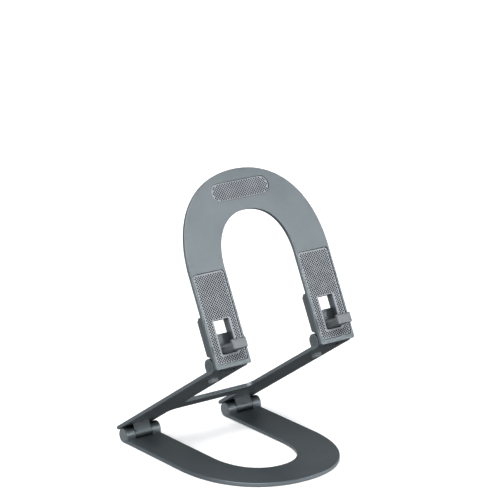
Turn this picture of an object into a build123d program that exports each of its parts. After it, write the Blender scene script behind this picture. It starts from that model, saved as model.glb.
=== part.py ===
from build123d import *
import math
import os

os.makedirs("parts", exist_ok=True)

# Folding tablet stand: a U-shaped base, an H-shaped arm, and a U-shaped cradle with two fold-out hooks.
# Millimetres. +Z up, front towards -Y, origin under the middle of the stand on the surface it rests on.

# ---------- driving dimensions ----------
half_width = 53.75          # outer side faces of base, arm and cradle
leg_w = 26.4                # width of every leg
plate_t = 2.5               # sheet thickness of the three frames
leg_x = half_width - leg_w / 2
inner_x = half_width - leg_w

foot_h = 0.5                # rubber feet stand this far below the base
axis_y = 58.22              # lower hinge axis, towards the rear
barrel_r = 4.65             # all hinge knuckles
axis_z = foot_h + barrel_r
base_len = 123.9            # lower axis to the front edge of the base
base_open = 97.5            # lower axis to the front of the base opening
arc_from = 61.5             # lower axis to where both base curves begin
curve_pull = 0.61           # handle length of the curves as a share of their half axes

arm_angle = 33.15           # arm above the horizontal
arm_gap = barrel_r + 0.3    # underside of the arm above the lower axis
arm_len = 119.2             # lower axis to upper axis along the arm
arm_tail = 4.6              # arm plate behind the lower axis
upper_n = arm_gap + barrel_r
bar_from, bar_to = 22.0, 38.0
inner_fillet = 5.0
bumper_s = 99.0             # lower axis to the bumpers, along the arm

cradle_angle = 62.86        # cradle above the horizontal
cradle_back = barrel_r + 0.3
cradle_face = cradle_back + plate_t
cradle_low = 4.1            # cradle plate below the upper axis
cradle_len = 116.0          # upper axis to the top edge
cradle_arc = 56.0           # upper axis to where the top curves begin
block_rear = 0.75           # rear face of the hinge blocks, measured from the upper axis
block_top = 30.0
block_gap_r = 5.75          # hollow in the lower end of the hinge blocks, around the outer knuckles
block_low_rear = 6.4        # lower end of their rear face
block_toe = (2.0, 5.0)      # where the sloping lower end starts and finishes, up the cradle
block_bevel = 2.1           # bevel at their upper end
pad_border = 1.4
pad_low = 1.3
pad_top = 56.0
recess_d = 1.2
pad_t = 0.8
pad_gap = 0.4               # between each pad and the wall of its recess

knuckle_w = 6.6             # outer knuckles
knuckle_gap = 0.4           # side gap that holds a friction washer
centre_w = leg_w - 2 * knuckle_w - 2 * knuckle_gap
swing_r = barrel_r + 0.35   # clearance cut around a barrel

shaft_d = 4.0
head_d = 6.2
spring_od = 6.4
washer_r = 3.75             # friction washers sit below the surface of the knuckles
cap_d = 7.4
cap_t = 1.0

slot_w = 11.6
slot_from, slot_to = 4.45, 26.1
web_t, web_top = 0.5, 18.0    # thin web that closes the rear of the slot behind the hook's root
hook_w = 10.8
hook_q, hook_m = 8.6, 3.85  # hook pivot in the cradle: up the plate, out from the upper axis
hook_low = 5.0              # underside of an open hook
hook_top = 8.0              # ledge that carries the tablet
lip_front = 20.3
lip_t = 2.2
lip_top = 11.5
boss_r = 2.4
pin_d = 1.6
pin_len = 19.0
liner_w = 8.6
liner_top = 10.6
washer_t = 0.35

bumper_l, bumper_w, bumper_h = 7.0, 3.8, 2.0
top_pad_l, top_pad_w = 44.0, 12.0
screw_d, screw_head_d = 2.0, 3.8
block_screw_x = 4.0

# ---------- frames of reference ----------
ca, sa = math.cos(math.radians(arm_angle)), math.sin(math.radians(arm_angle))
cc, sc = math.cos(math.radians(cradle_angle)), math.sin(math.radians(cradle_angle))
lower_axis = Vector(0, axis_y, axis_z)
arm_u, arm_n = Vector(0, -ca, sa), Vector(0, sa, ca)
upper_axis = lower_axis + arm_u * arm_len + arm_n * upper_n
cradle_p, cradle_m = Vector(0, cc, sc), Vector(0, -sc, cc)


def base_side(x):
    """Profile plane at x: first axis forwards from the lower axis, second axis up. Faces -X."""
    return Plane(origin=lower_axis + Vector(x, 0, 0), x_dir=(0, -1, 0), z_dir=(-1, 0, 0))


def arm_side(x, at=0.0, lift=0.0):
    """Profile plane at x: first axis along the arm, second axis square to it. Faces -X."""
    origin = lower_axis + Vector(x, 0, 0) + arm_u * at + arm_n * lift
    return Plane(origin=origin, x_dir=arm_u, z_dir=(-1, 0, 0))


def cradle_side(x):
    """Profile plane at x: first axis up the cradle, second axis out of its face. Faces +X."""
    return Plane(origin=upper_axis + Vector(x, 0, 0), x_dir=cradle_p, z_dir=(1, 0, 0))


def arm_plane(lift):
    """Plane parallel to the arm at a height above the lower axis: x across, y back towards that axis."""
    return Plane(origin=lower_axis + arm_n * lift, x_dir=(1, 0, 0), z_dir=arm_n)


def cradle_plane(lift):
    """Plane parallel to the cradle in front of the upper axis: x across, y up the cradle."""
    return Plane(origin=upper_axis + cradle_m * lift, x_dir=(1, 0, 0), z_dir=cradle_m)


def spans(side):
    """Outer end, joint and inner end positions along one hinge barrel, from +X to -X."""
    hi = side * leg_x + leg_w / 2
    return [hi, hi - knuckle_w, hi - knuckle_w - knuckle_gap, hi - leg_w + knuckle_w, hi - leg_w]


def u_outline(half, straight, arc, tip):
    """Closed outline: a straight end at y = straight, then a domed end at y = tip."""
    pull = arc + (tip - arc) * curve_pull
    Line((-half, straight), (half, straight))
    Line((half, straight), (half, arc))
    Bezier((half, arc), (half, pull), (half * curve_pull, tip), (0, tip))
    Bezier((0, tip), (-half * curve_pull, tip), (-half, pull), (-half, arc))
    Line((-half, arc), (-half, straight))


def export(part, name):
    part.label = name
    export_step(part, "parts/" + name + ".step")


# ---------- hinge hardware, the same in all four barrels ----------
def barrel_cuts(plane_at, side):
    """Bore of one barrel: shaft hole, head and spring pockets, cap seats. Call inside a BuildPart."""
    hi = side * leg_x + leg_w / 2
    low = hi - leg_w
    bores = [
        (hi, shaft_d / 2 + 0.05, leg_w),
        (hi, cap_d / 2, cap_t),
        (hi, head_d / 2 + 0.1, cap_t + 1.6),
        (low + cap_t, cap_d / 2, cap_t),
        (low + 4.6, spring_od / 2 + 0.1, 4.6),
    ]
    for x, radius, depth in bores:
        with BuildSketch(plane_at(x)) as ring:
            Circle(radius)
        extrude(ring.sketch, amount=depth, mode=Mode.SUBTRACT)


def shafts(plane_at, name):
    """Shouldered hinge shafts, one per barrel, head at the +X end."""
    with BuildPart() as pins:
        for side in (-1, 1):
            hi = side * leg_x + leg_w / 2
            with BuildSketch(plane_at(hi - cap_t - 0.1)):
                Circle(head_d / 2)
            extrude(amount=1.5)
            with BuildSketch(plane_at(hi - cap_t - 0.1)):
                Circle(shaft_d / 2)
            extrude(amount=leg_w - 2 * cap_t - 0.3)
            with BuildSketch(plane_at(hi - cap_t - 0.1)):
                RegularPolygon(1.5, 6)
            extrude(amount=0.9, mode=Mode.SUBTRACT)
    export(pins.part, name)


def caps(plane_at, name):
    """Flush discs that close both ends of both barrels."""
    with BuildPart() as discs:
        for side in (-1, 1):
            hi = side * leg_x + leg_w / 2
            for x in (hi, hi - leg_w + cap_t):
                with BuildSketch(plane_at(x)):
                    Circle(cap_d / 2 - 0.02)
                extrude(amount=cap_t)
    export(discs.part, name)


def washers(plane_at, name):
    """Thin friction washers in the two side gaps of each barrel."""
    with BuildPart() as rings:
        for side in (-1, 1):
            _, end_a, _, end_b, _ = spans(side)
            for x in (end_a - 0.05, end_b + knuckle_gap - 0.05):
                with BuildSketch(plane_at(x)):
                    Circle(washer_r)
                    Circle(shaft_d / 2 + 0.05, mode=Mode.SUBTRACT)
                extrude(amount=knuckle_gap - 0.1)
    export(rings.part, name)


def springs(plane_at, name):
    """Stacks of two coned disc springs that press each hinge together."""
    with BuildPart() as cones:
        for side in (-1, 1):
            x0 = side * leg_x - leg_w / 2
            for k in range(2):
                at = plane_at(x0 + 4.55 - 0.75 * k)
                with BuildSketch(at):
                    Circle(spring_od / 2)
                    Circle(shaft_d / 2 + 0.05, mode=Mode.SUBTRACT)
                extrude(amount=0.4)
                with BuildSketch(at.offset(0.4)):
                    Circle(spring_od / 2 - 0.5)
                    Circle(shaft_d / 2 + 0.05, mode=Mode.SUBTRACT)
                extrude(amount=0.3)
    export(cones.part, name)


def nuts(plane_at, name):
    """Hexagon lock nuts that set the friction of each hinge."""
    with BuildPart() as hexes:
        for side in (-1, 1):
            x0 = side * leg_x - leg_w / 2
            with BuildSketch(plane_at(x0 + 3.0)):
                RegularPolygon(spring_od / 2, 6)
                Circle(shaft_d / 2, mode=Mode.SUBTRACT)
            extrude(amount=1.7)
    export(hexes.part, name)


def upper_side(x):
    """Profile plane at x on the upper axis, turned with the arm."""
    return arm_side(x, arm_len, upper_n)


for place, plane_at in (("lower", base_side), ("upper", upper_side)):
    shafts(plane_at, place + "_hinge_shafts")
    caps(plane_at, place + "_hinge_caps")
    washers(plane_at, place + "_friction_washers")
    springs(plane_at, place + "_disc_springs")
    nuts(plane_at, place + "_lock_nuts")

# ---------- base ----------
foot_spots = [(-leg_x, 38.0), (leg_x, 38.0), (-24.0, -44.5), (24.0, -44.5)]
foot_turn = [90, 90, -24, 24]

with BuildPart() as base_plate:
    with BuildSketch(Plane.XY.offset(foot_h)):
        with BuildLine():
            u_outline(half_width, axis_y, axis_y - arc_from, axis_y - base_len)
        make_face()
    extrude(amount=plate_t)
    with BuildSketch(Plane.XY.offset(foot_h)):
        with BuildLine():
            u_outline(inner_x, axis_y, axis_y - arc_from, axis_y - base_open)
        make_face()
    extrude(amount=plate_t, mode=Mode.SUBTRACT)
    flat = base_plate.faces().sort_by(Axis.Z)
    rims = [e for f in (flat[0], flat[-1]) for e in f.edges() if e.center().Y < axis_y - 0.1]
    fillet(rims, radius=0.4)
    for side in (-1, 1):
        top, end_a, _, end_b, _ = spans(side)
        for x in (top, end_b):
            with BuildSketch(base_side(x)):
                Circle(barrel_r)
                with Locations((barrel_r / 2, -barrel_r / 2)):
                    Rectangle(barrel_r, barrel_r)
            extrude(amount=knuckle_w)
        with BuildSketch(base_side(end_a)):
            Circle(swing_r)
            with Locations((-5, 0)):
                Rectangle(10, 2 * swing_r)
        extrude(amount=centre_w + 2 * knuckle_gap, mode=Mode.SUBTRACT)
        barrel_cuts(base_side, side)
    for (x, y), turn in zip(foot_spots, foot_turn):
        with BuildSketch(Plane.XY.offset(foot_h)):
            with Locations(Location((x, y), turn)):
                SlotOverall(22, 9)
        extrude(amount=0.8, mode=Mode.SUBTRACT)
export(base_plate.part, "base_plate")

with BuildPart() as base_feet:
    for (x, y), turn in zip(foot_spots, foot_turn):
        with BuildSketch(Plane.XY):
            with Locations(Location((x, y), turn)):
                SlotOverall(21.8, 8.8)
        extrude(amount=foot_h + 0.8)
    chamfer(base_feet.faces().group_by(Axis.Z)[0].edges(), length=0.25)
export(base_feet.part, "base_feet")

# ---------- arm ----------
with BuildPart() as arm_plate:
    with BuildSketch(arm_plane(arm_gap)) as h_shape:
        for side in (-1, 1):
            with Locations((side * leg_x, -(arm_len - arm_tail) / 2)):
                Rectangle(leg_w, arm_len + arm_tail)
        with Locations((0, -(bar_from + bar_to) / 2)):
            Rectangle(2 * inner_x + 2, bar_to - bar_from)
        corners = [
            v for v in h_shape.vertices()
            if abs(v.X) < inner_x + 0.1 and -bar_to - 0.1 < v.Y < -bar_from + 0.1
        ]
        fillet(corners, radius=inner_fillet)
    extrude(amount=plate_t)
    tail = [e for e in arm_plate.edges() if (e.center() - lower_axis).dot(arm_u) < -arm_tail + 0.01]
    fillet([e for e in tail if abs(e.tangent_at(0).X) > 0.9], radius=plate_t / 2 - 0.05)
    lifts = (arm_gap, arm_gap + plate_t)
    rims = [
        e for e in arm_plate.edges()
        if min(abs((e.center() - lower_axis).dot(arm_n) - k) for k in lifts) < 0.01
        and abs((e.center() - lower_axis).dot(arm_u) - arm_len) > 0.1
        and abs((e.center() - lower_axis).dot(arm_u)) < arm_len
        and (e.center() - lower_axis).dot(arm_u) > 0
    ]
    fillet(rims, radius=0.3)
    for side in (-1, 1):
        top, end_a, _, end_b, _ = spans(side)
        for x in (top, end_b):
            with BuildSketch(upper_side(x)):
                Circle(barrel_r)
                with Locations((-barrel_r / 2, -barrel_r / 2)):
                    Rectangle(barrel_r, barrel_r)
            extrude(amount=knuckle_w)
        with BuildSketch(upper_side(end_a)):
            with Locations((1, 0)):
                Rectangle(2 * swing_r + 2, 2 * swing_r + 2)
        extrude(amount=centre_w + 2 * knuckle_gap, mode=Mode.SUBTRACT)
        barrel_cuts(upper_side, side)
        with BuildSketch(arm_plane(arm_gap)):
            with Locations((side * leg_x, -bumper_s)):
                SlotOverall(bumper_l, bumper_w)
        extrude(amount=0.8, mode=Mode.SUBTRACT)
        with Locations(arm_plane(arm_gap + plate_t)):
            with Locations((side * leg_x - block_screw_x, 0), (side * leg_x + block_screw_x, 0)):
                CounterSinkHole(screw_d / 2 + 0.02, screw_head_d / 2 + 0.05, depth=plate_t)
export(arm_plate.part, "arm_plate")

with BuildPart() as arm_blocks:
    for side in (-1, 1):
        start = spans(side)[2]
        with BuildSketch(arm_side(start)):
            Circle(barrel_r)
            with Locations((0, arm_gap / 2)):
                Rectangle(2 * barrel_r, arm_gap)
        extrude(amount=centre_w)
        with BuildSketch(arm_side(start)):
            Circle(shaft_d / 2 + 0.05)
        extrude(amount=centre_w, mode=Mode.SUBTRACT)
        with BuildSketch(arm_plane(arm_gap)):
            with Locations((side * leg_x - block_screw_x, 0), (side * leg_x + block_screw_x, 0)):
                Circle(screw_d / 2 + 0.02)
        extrude(amount=-2.4, mode=Mode.SUBTRACT)
export(arm_blocks.part, "arm_hinge_blocks")


def screws(plane, spots, length, name):
    """Countersunk screws with a hexagon socket, heads flush with the plane, pointing against its normal."""
    with BuildPart() as fasteners:
        for spot in spots:
            with BuildSketch(plane):
                with Locations(spot):
                    Circle(screw_head_d / 2)
            extrude(amount=-(screw_head_d - screw_d) / 2, taper=45)
            with BuildSketch(plane):
                with Locations(spot):
                    Circle(screw_d / 2)
            extrude(amount=-length)
            with BuildSketch(plane):
                with Locations(spot):
                    RegularPolygon(0.75, 6)
            extrude(amount=-0.8, mode=Mode.SUBTRACT)
    export(fasteners.part, name)


arm_spots = [(side * leg_x + dx, 0) for side in (-1, 1) for dx in (-block_screw_x, block_screw_x)]
screws(arm_plane(arm_gap + plate_t), arm_spots, plate_t + 2.3, "arm_block_screws")

with BuildPart() as arm_bumpers:
    with BuildSketch(arm_plane(arm_gap + 0.8)):
        with Locations((-leg_x, -bumper_s), (leg_x, -bumper_s)):
            SlotOverall(bumper_l - 0.1, bumper_w - 0.1)
    extrude(amount=-0.8 - bumper_h)
    low_face = arm_bumpers.faces().sort_by(lambda f: (f.center() - lower_axis).dot(arm_n))[0:2]
    fillet([e for f in low_face for e in f.edges()], radius=0.5)
export(arm_bumpers.part, "arm_bumpers")

# ---------- cradle ----------
slot_mid = (slot_from + slot_to) / 2
slot_len = slot_to - slot_from
pad_mid = (pad_top - pad_low) / 2
pad_len = pad_top + pad_low
block_spots = [(side * leg_x + dx, q) for side in (-1, 1) for dx in (-9.4, 9.4) for q in (14.0, 25.0)]

with BuildPart() as cradle_plate:
    with BuildSketch(cradle_plane(cradle_back)) as outline:
        with BuildLine():
            u_outline(half_width, -cradle_low, cradle_arc, cradle_len)
        make_face()
        with BuildLine():
            u_outline(inner_x, -cradle_low, cradle_arc, cradle_len - leg_w)
        make_face(mode=Mode.SUBTRACT)
        fillet(outline.vertices().filter_by(lambda v: abs(v.Y + cradle_low) < 0.01), radius=1.0)
    extrude(amount=plate_t)
    lifts = (cradle_back, cradle_face)
    rims = [
        e for e in cradle_plate.edges()
        if min(abs((e.center() - upper_axis).dot(cradle_m) - k) for k in lifts) < 0.01
    ]
    fillet(rims, radius=0.4)
    for side in (-1, 1):
        with BuildSketch(cradle_plane(cradle_face)):
            with Locations((side * leg_x, pad_mid)):
                RectangleRounded(leg_w - 2 * pad_border, pad_len, 2.2)
        extrude(amount=-recess_d, mode=Mode.SUBTRACT)
        with BuildSketch(cradle_plane(cradle_face)):
            with Locations((side * leg_x, slot_mid)):
                RectangleRounded(slot_w, slot_len, 0.7)
        extrude(amount=-plate_t, mode=Mode.SUBTRACT)
    with BuildSketch(cradle_plane(cradle_face)):
        with Locations((0, cradle_len - leg_w / 2)):
            SlotOverall(top_pad_l, top_pad_w)
    extrude(amount=-recess_d, mode=Mode.SUBTRACT)
    with BuildSketch(cradle_plane(cradle_back)):
        with Locations(*block_spots):
            Circle(screw_d / 2 + 0.02)
    extrude(amount=plate_t - recess_d, mode=Mode.SUBTRACT)
    with BuildSketch(cradle_side(-half_width)):
        Circle(swing_r)
    extrude(amount=2 * half_width, mode=Mode.SUBTRACT)
export(cradle_plate.part, "cradle_plate")

with BuildPart() as grip_pads:
    for side in (-1, 1):
        with BuildSketch(cradle_plane(cradle_face - recess_d)):
            with Locations((side * leg_x, pad_mid)):
                RectangleRounded(leg_w - 2 * (pad_border + pad_gap), pad_len - 2 * pad_gap, 2.0)
            with Locations((side * leg_x, slot_mid)):
                RectangleRounded(slot_w, slot_len, 0.7, mode=Mode.SUBTRACT)
        extrude(amount=pad_t)
export(grip_pads.part, "grip_pads")

with BuildPart() as top_pad:
    with BuildSketch(cradle_plane(cradle_face - recess_d)):
        with Locations((0, cradle_len - leg_w / 2)):
            SlotOverall(top_pad_l - 2 * pad_gap, top_pad_w - 2 * pad_gap)
    extrude(amount=pad_t)
export(top_pad.part, "top_grip_pad")

with BuildPart() as cradle_blocks:
    for side in (-1, 1):
        _, _, start, _, low = spans(side)
        with BuildSketch(cradle_side(low)):
            with BuildLine():
                Polyline(
                    (block_toe[0], cradle_back), (block_toe[1], 2 * block_rear),
                    (block_low_rear, block_rear),
                    (block_top - block_bevel, block_rear), (block_top, block_rear + block_bevel),
                    (block_top, cradle_back),
                    close=True,
                )
            make_face()
            Circle(block_gap_r, mode=Mode.SUBTRACT)
        extrude(amount=leg_w)
        with BuildSketch(cradle_side(start - centre_w)):
            Circle(barrel_r)
            with Locations((4, cradle_back / 2)):
                Rectangle(12, cradle_back)
        extrude(amount=centre_w)
        with BuildSketch(cradle_side(start - centre_w)):
            Circle(shaft_d / 2 + 0.05)
        extrude(amount=centre_w, mode=Mode.SUBTRACT)
        with BuildSketch(cradle_plane(block_rear + web_t)):
            with Locations((side * leg_x, slot_mid)):
                RectangleRounded(slot_w, slot_len, 0.7)
        extrude(amount=cradle_back, mode=Mode.SUBTRACT)
        with BuildSketch(cradle_plane(block_rear)):
            with Locations((side * leg_x, (web_top + slot_to) / 2)):
                Rectangle(slot_w, slot_to - web_top)
        extrude(amount=cradle_back, mode=Mode.SUBTRACT)
        with BuildSketch(cradle_side(side * leg_x - pin_len / 2)):
            with Locations((hook_q, hook_m)):
                Circle(pin_d / 2)
        extrude(amount=pin_len, mode=Mode.SUBTRACT)
        with Locations(Plane(cradle_plane(block_rear).origin, x_dir=(-1, 0, 0), z_dir=-cradle_m)):
            with Locations(*[(-x, q) for x, q in block_spots if x * side > 0]):
                CounterSinkHole(screw_d / 2 + 0.02, screw_head_d / 2 + 0.05, depth=cradle_back - block_rear)
export(cradle_blocks.part, "cradle_hinge_blocks")

rear_face = Plane(cradle_plane(block_rear).origin, x_dir=(-1, 0, 0), z_dir=-cradle_m)
screws(rear_face, [(-x, q) for x, q in block_spots], 5.3, "cradle_block_screws")

with BuildPart() as hook_pins:
    for side in (-1, 1):
        with BuildSketch(cradle_side(side * leg_x - pin_len / 2)):
            with Locations((hook_q, hook_m)):
                Circle(pin_d / 2)
        extrude(amount=pin_len)
export(hook_pins.part, "hook_pins")

with BuildPart() as hook_washers:
    for side in (-1, 1):
        for x in (side * leg_x - slot_w / 2, side * leg_x + slot_w / 2 - washer_t):
            with BuildSketch(cradle_side(x)):
                with Locations((hook_q, hook_m)):
                    Circle(2.3)
                    Circle(pin_d / 2, mode=Mode.SUBTRACT)
            extrude(amount=washer_t)
export(hook_washers.part, "hook_spring_washers")


def hook(side, name):
    """Fold-out hook: a boss on the pin, a ledge under the tablet and a lip in front of it."""
    x0 = side * leg_x - hook_w / 2
    with BuildPart() as part:
        with BuildSketch(cradle_side(x0)) as shape:
            with BuildLine():
                Polyline(
                    (hook_low, hook_m - 1.0), (hook_low, lip_front), (lip_top, lip_front),
                    (lip_top, lip_front - lip_t), (hook_top, lip_front - lip_t), (hook_top, hook_m - 1.0),
                    close=True,
                )
            make_face()
            outer = [v for v in shape.vertices() if v.Y > lip_front - 0.01]
            fillet(outer, radius=0.8)
            with Locations((hook_q, hook_m)):
                Circle(boss_r)
        extrude(amount=hook_w)
        ends = part.faces().filter_by(Axis.X)
        lip_edges = [
            e for f in ends for e in f.edges()
            if (e.center() - upper_axis).dot(cradle_m) > lip_front - lip_t
        ]
        fillet(lip_edges, radius=0.7)
        with BuildSketch(cradle_side(x0)):
            with Locations((hook_q, hook_m)):
                Circle(pin_d / 2 + 0.05)
        extrude(amount=hook_w, mode=Mode.SUBTRACT)
        with BuildSketch(cradle_side(side * leg_x - liner_w / 2 - 0.1)):
            with Locations((hook_top - 0.3, (8.6 + lip_front - lip_t + 0.6) / 2)):
                Rectangle(0.6, lip_front - lip_t + 0.6 - 8.6)
            with Locations(((hook_top + liner_top + 0.1) / 2, lip_front - lip_t + 0.3)):
                Rectangle(liner_top + 0.1 - hook_top, 0.6)
        extrude(amount=liner_w + 0.2, mode=Mode.SUBTRACT)
    export(part.part, name)


def liner(side, name):
    """Soft L-shaped lining of one hook."""
    with BuildPart() as part:
        with BuildSketch(cradle_side(side * leg_x - liner_w / 2)):
            with BuildLine():
                back, inner = lip_front - lip_t + 0.6, lip_front - lip_t - 0.2
                Polyline(
                    (hook_top - 0.6, 8.7), (hook_top - 0.6, back), (liner_top, back),
                    (liner_top, inner), (hook_top + 0.2, inner), (hook_top + 0.2, 8.7),
                    close=True,
                )
            make_face()
        extrude(amount=liner_w)
    export(part.part, name)


for side, word in ((-1, "left"), (1, "right")):
    hook(side, word + "_hook")
    liner(side, word + "_hook_liner")
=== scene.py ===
import math
import bmesh
import bpy
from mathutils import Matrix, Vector
from mathutils.geometry import delaunay_2d_cdt


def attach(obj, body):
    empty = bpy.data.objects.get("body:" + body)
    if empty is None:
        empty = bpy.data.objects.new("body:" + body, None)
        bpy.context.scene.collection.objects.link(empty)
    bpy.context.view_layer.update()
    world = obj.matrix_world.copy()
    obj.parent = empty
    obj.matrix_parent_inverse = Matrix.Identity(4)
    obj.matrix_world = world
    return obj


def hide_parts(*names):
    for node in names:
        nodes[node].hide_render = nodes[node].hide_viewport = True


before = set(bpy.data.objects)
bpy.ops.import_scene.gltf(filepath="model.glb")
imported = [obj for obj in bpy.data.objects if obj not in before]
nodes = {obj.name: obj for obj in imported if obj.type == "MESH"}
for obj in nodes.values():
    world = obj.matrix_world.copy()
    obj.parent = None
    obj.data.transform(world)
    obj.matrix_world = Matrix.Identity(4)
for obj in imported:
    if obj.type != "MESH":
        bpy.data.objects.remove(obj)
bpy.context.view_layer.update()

MM = 0.001

# ---------- the stand's own dimensions, as in the CAD model ----------
LEG_X = 40.55 * MM                          # middle of each leg, to either side of the middle plane
LEG_W = 26.4 * MM
AXIS_Y, AXIS_Z = 58.22 * MM, 5.15 * MM      # lower hinge line
ARM_ANGLE = math.radians(33.15)             # both angles are above the horizontal
CRADLE_ANGLE = math.radians(62.86)
ARM_LEN, UPPER_N = 119.2 * MM, 9.6 * MM     # upper hinge line: along the arm from the lower one, and above it
CRADLE_FACE = 7.45 * MM                     # in front of the upper hinge line
RECESS, PAD_T = 1.2 * MM, 0.8 * MM          # depth of the pads' recesses, thickness of the pads
PAD_BORDER, PAD_GAP = 1.4 * MM, 0.4 * MM    # metal beside a leg's recess, gap between its wall and the pad
PAD_LOW, PAD_TOP = 1.3 * MM, 56.0 * MM      # ends of a leg's recess, below and above the upper hinge line
PAD_CORNER, SLOT_CORNER = 2.0 * MM, 0.7 * MM
SLOT_W = 11.6 * MM                          # the hook's slot
SLOT_FROM, SLOT_TO = 4.45 * MM, 26.1 * MM   # its ends, above the upper hinge line
ARCH_MID = (116.0 - 13.2) * MM              # middle of the arch's width, above the upper hinge line
TOP_PAD_W, TOP_PAD_H = 43.2 * MM, 11.2 * MM
FLAT_END = 0.01 * MM                        # straight stretch left at each round end of the top pad

# ---------- the perforation ----------
PITCH, HOLE_R, HOLE_SIDES = 1.87 * MM, 0.56 * MM, 8
HOLE_TAPER = 0.9                            # width of a hole at the film, as a share of its width at the face
EDGE_MARGIN, LEG_MARGIN = 0.85 * MM, 0.8 * MM
FILM, FILM_EDGE = 0.05 * MM, 0.36 * MM      # dark film of painted shade: its thickness, and how far it shows round a pad
IN_HOLE = 0.93                              # faces nearer than this to a hole's centre, in radii, are cut out
MERGE = 1e-7                                # points closer than this are one

arm_u = Vector((0, -math.cos(ARM_ANGLE), math.sin(ARM_ANGLE)))
arm_n = Vector((0, math.sin(ARM_ANGLE), math.cos(ARM_ANGLE)))
lower_axis = Vector((0, AXIS_Y, AXIS_Z))
upper_axis = lower_axis + arm_u * ARM_LEN + arm_n * UPPER_N
cradle_p = Vector((0, math.cos(CRADLE_ANGLE), math.sin(CRADLE_ANGLE)))
cradle_m = Vector((0, -math.sin(CRADLE_ANGLE), math.cos(CRADLE_ANGLE)))


# ---------- material helpers ----------
def new_material(name):
    mat = bpy.data.materials.new(name)
    mat.use_nodes = True
    return mat, mat.node_tree, mat.node_tree.nodes["Principled BSDF"]


def noise(tree, coords, scale, detail=2.0, roughness=0.5, stretch=None):
    """Noise texture on object coordinates; stretch gives unequal scales along X, Y, Z."""
    node = tree.nodes.new("ShaderNodeTexNoise")
    node.inputs["Scale"].default_value = scale
    node.inputs["Detail"].default_value = detail
    node.inputs["Roughness"].default_value = roughness
    if stretch:
        mapping = tree.nodes.new("ShaderNodeMapping")
        mapping.inputs["Scale"].default_value = stretch
        tree.links.new(coords, mapping.inputs["Vector"])
        coords = mapping.outputs["Vector"]
    tree.links.new(coords, node.inputs["Vector"])
    return node.outputs["Fac"]


def ramp(tree, value, low, high, at=(0.35, 0.65)):
    """Colour ramp between two colours."""
    node = tree.nodes.new("ShaderNodeValToRGB")
    for element, position, colour in zip(node.color_ramp.elements, at, (low, high)):
        element.position = position
        element.color = (*colour, 1)
    tree.links.new(value, node.inputs["Fac"])
    return node.outputs["Color"]


def spread(tree, value, low, high):
    """Map 0..1 to low..high."""
    node = tree.nodes.new("ShaderNodeMapRange")
    node.inputs["To Min"].default_value = low
    node.inputs["To Max"].default_value = high
    tree.links.new(value, node.inputs["Value"])
    return node.outputs["Result"]


def bump(tree, height, strength, distance, previous=None):
    """Bump normal, on top of a previous one where given."""
    node = tree.nodes.new("ShaderNodeBump")
    node.inputs["Strength"].default_value = strength
    node.inputs["Distance"].default_value = distance
    tree.links.new(height, node.inputs["Height"])
    if previous:
        tree.links.new(previous, node.inputs["Normal"])
    return node.outputs["Normal"]


def object_coords(tree):
    return tree.nodes.new("ShaderNodeTexCoord").outputs["Object"]


def math_node(tree, operation, a, b):
    """Clamped sum, difference or product of two values, each a number or a socket."""
    node = tree.nodes.new("ShaderNodeMath")
    node.operation = operation
    node.use_clamp = True
    for value, socket in zip((a, b), node.inputs):
        if isinstance(value, (int, float)):
            socket.default_value = value
        else:
            tree.links.new(value, socket)
    return node.outputs["Value"]


def edge_mask(tree, radius):
    """1 along sharp edges, where handling polishes the finish; 0 on flat faces."""
    bevel = tree.nodes.new("ShaderNodeBevel")
    bevel.samples = 6
    bevel.inputs["Radius"].default_value = radius
    dot = tree.nodes.new("ShaderNodeVectorMath")
    dot.operation = "DOT_PRODUCT"
    tree.links.new(bevel.outputs["Normal"], dot.inputs[0])
    tree.links.new(tree.nodes.new("ShaderNodeNewGeometry").outputs["Normal"], dot.inputs[1])
    return math_node(tree, "MULTIPLY", math_node(tree, "SUBTRACT", 1.0, dot.outputs["Value"]), 5.0)


def crevice_shade(tree, reach, darkest):
    """Painted shade: 1 in the open, falling to darkest in corners and narrow gaps, to darken the colour there
    as shade would.
    """
    node = tree.nodes.new("ShaderNodeAmbientOcclusion")
    node.samples = 8
    node.inputs["Distance"].default_value = reach
    fit = tree.nodes.new("ShaderNodeMapRange")
    fit.inputs["From Min"].default_value = 0.15
    fit.inputs["From Max"].default_value = 0.85
    fit.inputs["To Min"].default_value = darkest
    tree.links.new(node.outputs["AO"], fit.inputs["Value"])
    return fit.outputs["Result"]


def blend_colour(tree, fac, base, top):
    """Mix two colours, each a tuple or a socket; fac is a socket."""
    node = tree.nodes.new("ShaderNodeMix")
    node.data_type = "RGBA"
    tree.links.new(fac, node.inputs["Factor"])
    for colour, socket in ((base, node.inputs["A"]), (top, node.inputs["B"])):
        if isinstance(colour, tuple):
            socket.default_value = (*colour, 1)
        else:
            tree.links.new(colour, socket)
    return node.outputs["Result"]


def scaled(colour, factor):
    return tuple(factor * c for c in colour)


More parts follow.
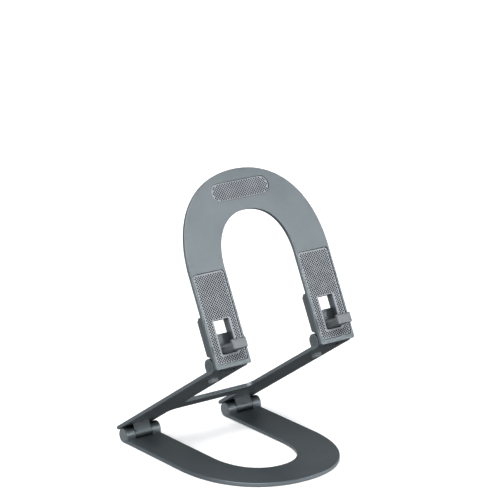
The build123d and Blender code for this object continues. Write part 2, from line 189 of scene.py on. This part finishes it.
# ---------- materials ----------
def anodised(name, low, high, rough=(0.35, 0.45)):
    """Bead-blasted anodised aluminium: blasted grain, clouding, smudges, polished edges, and painted shade in
    corners.
    """
    mat, tree, shader = new_material(name)
    co = object_coords(tree)
    cloud = noise(tree, co, 28.0, 3.0)
    grain = noise(tree, co, 2600.0, 1.0)
    speck = noise(tree, co, 1500.0, 2.0, 0.6)
    smudge = noise(tree, co, 60.0, 5.0, 0.6)
    scuff = noise(tree, co, 220.0, 4.0, 0.7)
    tone = ramp(tree, cloud, low, high)
    blasted = blend_colour(tree, spread(tree, speck, 0.0, 0.35), tone, scaled(high, 1.55))
    worn = math_node(tree, "MULTIPLY", edge_mask(tree, 0.45 * MM), spread(tree, scuff, -0.15, 1.1))
    polished = blend_colour(tree, worn, blasted, scaled(high, 1.7))
    # Painted shade: the colour darkens to near black in corners and narrow gaps.
    colour = blend_colour(tree, crevice_shade(tree, 8 * MM, 0.25), scaled(low, 0.06), polished)
    tree.links.new(colour, shader.inputs["Base Color"])
    satin = spread(tree, smudge, *rough)
    polish = math_node(tree, "MULTIPLY", worn, 0.12)
    tree.links.new(math_node(tree, "SUBTRACT", satin, polish), shader.inputs["Roughness"])
    fine = bump(tree, grain, 0.10, 0.06 * MM)
    tree.links.new(bump(tree, speck, 0.08, 0.1 * MM, fine), shader.inputs["Normal"])
    shader.inputs["Metallic"].default_value = 0.8
    return mat


def rubber(name, low, high, rough=(0.62, 0.78)):
    """Moulded silicone rubber: matt, faintly dusty, with a very fine moulding texture."""
    mat, tree, shader = new_material(name)
    co = object_coords(tree)
    dust = noise(tree, co, 140.0, 4.0, 0.65)
    grain = noise(tree, co, 3500.0, 1.0)
    tree.links.new(ramp(tree, dust, low, high), shader.inputs["Base Color"])
    tree.links.new(spread(tree, dust, *rough), shader.inputs["Roughness"])
    tree.links.new(bump(tree, grain, 0.2, 0.05 * MM), shader.inputs["Normal"])
    shader.inputs["Specular IOR Level"].default_value = 0.35
    return mat


def turned_metal(name, low, high, rough=(0.22, 0.38)):
    """Machined metal with fine turning marks across the part's X axis."""
    mat, tree, shader = new_material(name)
    co = object_coords(tree)
    marks = noise(tree, co, 900.0, 2.0, 0.5, stretch=(4.0, 0.4, 0.4))
    stain = noise(tree, co, 90.0, 3.0)
    tree.links.new(ramp(tree, stain, low, high), shader.inputs["Base Color"])
    tree.links.new(spread(tree, marks, *rough), shader.inputs["Roughness"])
    tree.links.new(bump(tree, marks, 0.15, 0.08 * MM), shader.inputs["Normal"])
    shader.inputs["Metallic"].default_value = 1.0
    return mat


plate_mat = anodised("anodised_plate", (0.113, 0.134, 0.146), (0.137, 0.160, 0.173))
# Painted shade: a darker copy of the plate's finish, for the hinge blocks and the upper hinge caps.
shaded_block_mat = anodised("anodised_shaded_copy", (0.088, 0.102, 0.110), (0.109, 0.125, 0.134), (0.34, 0.46))
# Painted light: a lighter copy of the plate's finish, for the lower hinge caps, which sit low by the floor.
lit_cap_mat = anodised("anodised_lit_copy", (0.172, 0.192, 0.203), (0.204, 0.225, 0.238), (0.40, 0.52))
hook_mat = anodised("anodised_hook", (0.126, 0.140, 0.148), (0.150, 0.165, 0.173), (0.36, 0.48))
bumper_mat = rubber("bumper_rubber", (0.190, 0.210, 0.225), (0.245, 0.266, 0.283))
foot_mat = rubber("foot_rubber", (0.020, 0.021, 0.022), (0.034, 0.035, 0.037))
pad_mat = rubber("grip_silicone", (0.225, 0.243, 0.263), (0.275, 0.295, 0.317))
# Painted shade: a near-black film in the pads' holes and round their edges.
shade_film_mat = rubber("painted_shade_film", (0.020, 0.023, 0.028), (0.034, 0.038, 0.044))
liner_mat = rubber("liner_silicone", (0.045, 0.048, 0.050), (0.070, 0.074, 0.077))
steel_mat = turned_metal("plain_steel", (0.48, 0.48, 0.47), (0.60, 0.60, 0.59))
washer_mat = rubber("washer_polymer", (0.018, 0.019, 0.020), (0.030, 0.031, 0.032), (0.45, 0.6))

# Nodes that are not listed here are plain steel.
finishes = {
    "base_plate": plate_mat, "arm_plate": plate_mat, "cradle_plate": plate_mat,
    "arm_hinge_blocks": shaded_block_mat, "cradle_hinge_blocks": shaded_block_mat,
    "lower_hinge_caps": lit_cap_mat, "upper_hinge_caps": shaded_block_mat,
    "left_hook": hook_mat, "right_hook": hook_mat,
    "arm_bumpers": bumper_mat, "base_feet": foot_mat,
    "grip_pads": pad_mat, "top_grip_pad": pad_mat,
    "left_hook_liner": liner_mat, "right_hook_liner": liner_mat,
    "lower_friction_washers": washer_mat, "upper_friction_washers": washer_mat,
}
for name, obj in nodes.items():
    obj.data.materials.clear()
    obj.data.materials.append(finishes.get(name, steel_mat))
    for face in obj.data.polygons:
        face.material_index = 0


# ---------- perforated grip pads ----------
def rounded_rect(cx, cy, w, h, r, steps=7):
    """Points of a rounded rectangle, anticlockwise."""
    points = []
    for qx, qy, start in ((1, 1, 0), (-1, 1, 90), (-1, -1, 180), (1, -1, 270)):
        for k in range(steps + 1):
            a = math.radians(start + 90 * k / steps)
            x = cx + qx * (w / 2 - r) + r * math.cos(a)
            y = cy + qy * (h / 2 - r) + r * math.sin(a)
            points.append(Vector((x, y)))
    return points


def inside(point, cx, cy, w, h, margin):
    """Whether a point is within a rectangle and further than margin from its sides."""
    return abs(point.x - cx) < w / 2 - margin and abs(point.y - cy) < h / 2 - margin


def inside_loop(point, loop):
    """Whether a point is within a loop, by the even-odd rule."""
    odd = False
    for i, a in enumerate(loop):
        b = loop[(i + 1) % len(loop)]
        if (a.y > point.y) != (b.y > point.y):
            if point.x < a.x + (point.y - a.y) * (b.x - a.x) / (b.y - a.y):
                odd = not odd
    return odd


def extent(points):
    """Left, right, lowest and highest of some points."""
    xs = [p.x for p in points]
    ys = [p.y for p in points]
    return min(xs), max(xs), min(ys), max(ys)


def hole_centres(outline, keep):
    """Centres of a staggered field of holes over the outline, where keep(point) allows one."""
    left, right, low, high = extent(outline)
    offset = ((right - left) / 2) % (PITCH / 2)
    centres = []
    row = 0
    y = low + EDGE_MARGIN
    while y < high:
        x = left + offset + (PITCH / 2 if row % 2 else 0)
        while x < right:
            if keep(Vector((x, y))):
                centres.append(Vector((x, y)))
            x += PITCH
        y += PITCH / 2
        row += 1
    return centres


def neighbour_finder(centres):
    """A function that lists the centres near a point, from square cells one pitch wide."""
    def cell(p):
        return int(p.x // PITCH), int(p.y // PITCH)

    cells = {}
    for c in centres:
        cells.setdefault(cell(c), []).append(c)

    def near(point):
        i, j = cell(point)
        return [c for a in (-1, 0, 1) for b in (-1, 0, 1) for c in cells.get((i + a, j + b), [])]

    return near


def on_cradle(point, height):
    """Place in space of a point of the cradle's plane, height in front of the upper hinge line."""
    return upper_axis + Vector((point[0], 0, 0)) + cradle_p * point[1] + cradle_m * height


def band(mesh, upper, lower, material):
    """Faces between two closed rows of vertices."""
    for k in range(len(upper)):
        j = (k + 1) % len(upper)
        mesh.faces.new((upper[k], lower[k], lower[j], upper[j])).material_index = material


def perforated_mesh(outline, slot, keep):
    """A perforated pad's faces, with the dark film of painted shade under its holes and round its edge as
    material 1.
    """
    top, film = CRADLE_FACE - RECESS + PAD_T, CRADLE_FACE - RECESS + FILM
    centres = hole_centres(outline, keep)
    near = neighbour_finder(centres)

    points = [p.copy() for p in outline]
    loops = [list(range(len(outline)))]
    if slot:
        loops.append(list(range(len(points), len(points) + len(slot)))[::-1])
        points += [p.copy() for p in slot]
    rings = []
    for c in centres:
        rings.append(list(range(len(points), len(points) + HOLE_SIDES)))
        for k in range(HOLE_SIDES):
            a = 2 * math.pi * (k + 0.5) / HOLE_SIDES
            points.append(c + Vector((HOLE_R * math.cos(a), HOLE_R * math.sin(a))))
    edges = [(loop[i], loop[(i + 1) % len(loop)]) for loop in loops + rings for i in range(len(loop))]
    flat, _, triangles, source, _, _ = delaunay_2d_cdt(points, edges, [], 0, MERGE)

    mesh = bmesh.new()
    face_verts = [mesh.verts.new(on_cradle(p, top)) for p in flat]
    on_face = {old: face_verts[new] for new, olds in enumerate(source) for old in olds}
    for triangle in triangles:
        c = sum((Vector(flat[i]) for i in triangle), Vector((0, 0))) / len(triangle)
        in_hole = any((c - d).length < HOLE_R * IN_HOLE for d in near(c))
        in_slot = bool(slot) and inside_loop(c, slot)
        if inside_loop(c, outline) and not in_hole and not in_slot:
            mesh.faces.new([face_verts[i] for i in triangle])

    for ring, c in zip(rings, centres):
        low = [mesh.verts.new(on_cradle(c + (points[i] - c) * HOLE_TAPER, film)) for i in ring]
        tip = mesh.verts.new(on_cradle(c, film))
        # The holes' walls and floors take the dark film: painted shade.
        band(mesh, low, [on_face[i] for i in ring], 1)
        for k in range(HOLE_SIDES):
            mesh.faces.new((low[k], low[(k + 1) % HOLE_SIDES], tip)).material_index = 1

    lower_rows = [[mesh.verts.new(on_cradle(points[i], film)) for i in loop] for loop in loops]
    for loop, row in zip(loops, lower_rows):
        band(mesh, [on_face[i] for i in loop], row, 0)
    left, right, low, high = extent(outline)
    film_edge = []
    for p in outline:
        grow_x = math.copysign(FILM_EDGE, p.x - (left + right) / 2)
        grow_y = math.copysign(FILM_EDGE, p.y - (low + high) / 2)
        film_edge.append(mesh.verts.new(on_cradle(p + Vector((grow_x, grow_y)), film)))
    # A rim of the dark film round the pad: painted shade in the gap beside it.
    band(mesh, lower_rows[0], film_edge, 1)

    bmesh.ops.remove_doubles(mesh, verts=mesh.verts, dist=MERGE)
    loose = [v for v in mesh.verts if not v.link_faces]
    bmesh.ops.delete(mesh, geom=loose, context="VERTS")
    bmesh.ops.recalc_face_normals(mesh, faces=mesh.faces)
    return mesh


def perforated_pad(name, outline, slot, keep):
    """A flat pad on the cradle, with a staggered field of round holes down to a dark film under it, which
    paints the shade in the holes.

    outline and slot are loops in the cradle's plane (x across, y up the plate), and slot may be None;
    keep(point) says where a hole may be.
    """
    mesh = perforated_mesh(outline, slot, keep)
    data = bpy.data.meshes.new(name)
    mesh.to_mesh(data)
    mesh.free()
    outward = sum((f.normal * f.area for f in data.polygons), Vector())
    if outward.dot(cradle_m) < 0:
        data.flip_normals()
    data.materials.append(pad_mat)
    data.materials.append(shade_film_mat)
    piece = bpy.data.objects.new(name, data)
    bpy.context.scene.collection.objects.link(piece)
    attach(piece, "cradle")
    return piece


pad_w, pad_h = LEG_W - 2 * (PAD_BORDER + PAD_GAP), PAD_TOP + PAD_LOW - 2 * PAD_GAP
pad_y = (PAD_TOP - PAD_LOW) / 2
slot_h, slot_y = SLOT_TO - SLOT_FROM, (SLOT_TO + SLOT_FROM) / 2
for side, word in ((-1, "left"), (1, "right")):
    leg_x = side * LEG_X
    outline = rounded_rect(leg_x, pad_y, pad_w, pad_h, PAD_CORNER)
    slot = rounded_rect(leg_x, slot_y, SLOT_W, slot_h, SLOT_CORNER, steps=3)

    def keep(p):
        """Clear of the pad's outer edge and of the slot."""
        clear_of_slot = not inside(p, leg_x, slot_y, SLOT_W, slot_h, -EDGE_MARGIN)
        return inside(p, leg_x, pad_y, pad_w, pad_h, LEG_MARGIN) and clear_of_slot

    leg_pad = perforated_pad(word + "_dimpled_pad", outline, slot, keep)
    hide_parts("grip_pads")


def keep_top(p):
    """Clear of the edge of the top pad, which has round ends."""
    half_core = (TOP_PAD_W - TOP_PAD_H) / 2
    core = Vector((max(-half_core, min(half_core, p.x)), ARCH_MID))
    return (p - core).length < TOP_PAD_H / 2 - EDGE_MARGIN


top_outline = rounded_rect(0, ARCH_MID, TOP_PAD_W, TOP_PAD_H, TOP_PAD_H / 2 - FLAT_END, steps=12)
top_pad = perforated_pad("top_dimpled_pad", top_outline, None, keep_top)
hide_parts("top_grip_pad")

# ---------- floor ----------
FLOOR_HALF = 6.0
GLOW_FROM, GLOW_TO = 0.25, 1.6              # distances from the stand between which its own glow grows
GLOW_LOW, GLOW_HIGH = 0.28, 0.9

floor_mesh = bmesh.new()
bmesh.ops.create_grid(floor_mesh, x_segments=1, y_segments=1, size=FLOOR_HALF)
floor_data = bpy.data.meshes.new("floor")
floor_mesh.to_mesh(floor_data)
floor_mesh.free()
floor = bpy.data.objects.new("floor", floor_data)
bpy.context.scene.collection.objects.link(floor)
floor_mat, floor_tree, floor_shader = new_material("floor_paper")
paper = noise(floor_tree, object_coords(floor_tree), 40.0, 4.0)
paper_tone = ramp(floor_tree, paper, (0.86, 0.865, 0.87), (0.88, 0.885, 0.89))
floor_tree.links.new(paper_tone, floor_shader.inputs["Base Color"])
floor_shader.inputs["Roughness"].default_value = 0.9
reach = floor_tree.nodes.new("ShaderNodeVectorMath")
reach.operation = "LENGTH"
floor_tree.links.new(object_coords(floor_tree), reach.inputs[0])
# Painted light: the floor glows by itself, least next to the stand and most far from it, which lightens the
# shadows cast on it.
lit = floor_tree.nodes.new("ShaderNodeMapRange")
lit.interpolation_type = "SMOOTHSTEP"
lit.inputs["From Min"].default_value = GLOW_FROM
lit.inputs["From Max"].default_value = GLOW_TO
lit.inputs["To Min"].default_value = GLOW_LOW
lit.inputs["To Max"].default_value = GLOW_HIGH
floor_tree.links.new(reach.outputs["Value"], lit.inputs["Value"])
floor_tree.links.new(lit.outputs["Result"], floor_shader.inputs["Emission Strength"])
floor_shader.inputs["Emission Color"].default_value = (1, 1, 1, 1)
floor_data.materials.append(floor_mat)
# The floor receives light and shadow but throws none back: the studio's own glow below does that.
floor.visible_diffuse = False
floor.visible_glossy = False
floor.visible_shadow = False

# ---------- studio glow ----------
world = bpy.data.worlds.new("studio")
bpy.context.scene.world = world
world.use_nodes = True
sky = world.node_tree
direction = sky.nodes.new("ShaderNodeTexCoord").outputs["Generated"]
split = sky.nodes.new("ShaderNodeSeparateXYZ")
sky.links.new(direction, split.inputs["Vector"])


def sky_band(stops):
    """Glow of the studio by height, from straight down (0) to straight up (1)."""
    height = sky.nodes.new("ShaderNodeMapRange")
    height.inputs["From Min"].default_value = -1.0
    sky.links.new(split.outputs["Z"], height.inputs["Value"])
    levels = sky.nodes.new("ShaderNodeValToRGB")
    levels.color_ramp.interpolation = "EASE"
    while len(levels.color_ramp.elements) < len(stops):
        levels.color_ramp.elements.new(0.5)
    for element, (at, level) in zip(levels.color_ramp.elements, stops):
        element.position = at
        element.color = (level * 0.985, level, level * 1.01, 1)
    sky.links.new(height.outputs["Result"], levels.inputs["Fac"])
    return levels.outputs["Color"]


rear_stops = [(0.0, 0.20), (0.23, 0.05), (0.37, 0.98), (0.46, 0.42), (0.65, 0.17), (1.0, 0.35)]
front_stops = [(0.0, 0.05), (0.2, 0.10), (0.31, 1.6), (0.38, 2.6), (0.46, 0.60), (0.65, 0.28), (1.0, 0.35)]
rear_glow = sky_band(rear_stops)
front_glow = sky_band(front_stops)
facing = sky.nodes.new("ShaderNodeMapRange")
facing.interpolation_type = "SMOOTHSTEP"
facing.inputs["From Min"].default_value = 0.45
facing.inputs["From Max"].default_value = -0.45
sky.links.new(split.outputs["Y"], facing.inputs["Value"])
glow = blend_colour(sky, facing.outputs["Result"], rear_glow, front_glow)
sky.links.new(glow, sky.nodes["Background"].inputs["Color"])
sky.nodes["Background"].inputs["Strength"].default_value = 1.0


# ---------- lamps ----------
def hang(name, data, place, aim):
    """Put a lamp in the scene, pointing at aim."""
    lamp = bpy.data.objects.new(name, data)
    lamp.location = place
    lamp.rotation_euler = (Vector(aim) - Vector(place)).to_track_quat("-Z", "Y").to_euler()
    bpy.context.scene.collection.objects.link(lamp)


def softbox(name, place, aim, size, power):
    """Rectangular soft lamp."""
    data = bpy.data.lights.new(name, "AREA")
    data.shape = "RECTANGLE"
    data.size, data.size_y = size
    data.energy = power
    hang(name, data, place, aim)


def spotlight(name, place, aim, cone, power):
    """Snooted lamp, for one part of the stand alone; cone is its full angle in degrees."""
    data = bpy.data.lights.new(name, "SPOT")
    data.spot_size = math.radians(cone)
    data.spot_blend = 0.35
    data.shadow_soft_size = 0.14
    data.color = (1.0, 0.965, 0.93)
    data.energy = power
    hang(name, data, place, aim)


STAND_MID = (0, -0.02, 0.09)
spotlight("cradle_lamp", (0.92, -1.10, 0.80), (-0.038, -0.02, 0.135), 7.2, 25)
softbox("key_softbox", (0.92, -1.10, 0.30), STAND_MID, (0.75, 0.30), 4.4)
softbox("left_softbox", (-1.28, -0.62, 0.80), STAND_MID, (0.35, 0.35), 5.0)
softbox("top_softbox", (-0.9, -0.55, 2.0), (0, 0, 0), (2.6, 2.6), 92)

bpy.context.scene.view_settings.view_transform = "Standard"

# ---------- camera ----------
CAMERA_PLACE = (-1.01365, -1.36472, 0.64816)
CAMERA_VIEW = Vector((0.57244, 0.76719, -0.28938))
LENS, SENSOR = 204.43, 36.0                 # millimetres

cam_data = bpy.data.cameras.new("camera")
cam_data.sensor_width = SENSOR
cam_data.lens = LENS
cam_data.clip_end = 50.0
camera = bpy.data.objects.new("camera", cam_data)
camera.location = CAMERA_PLACE
camera.rotation_euler = CAMERA_VIEW.to_track_quat("-Z", "Y").to_euler()
bpy.context.scene.collection.objects.link(camera)
bpy.context.scene.camera = camera
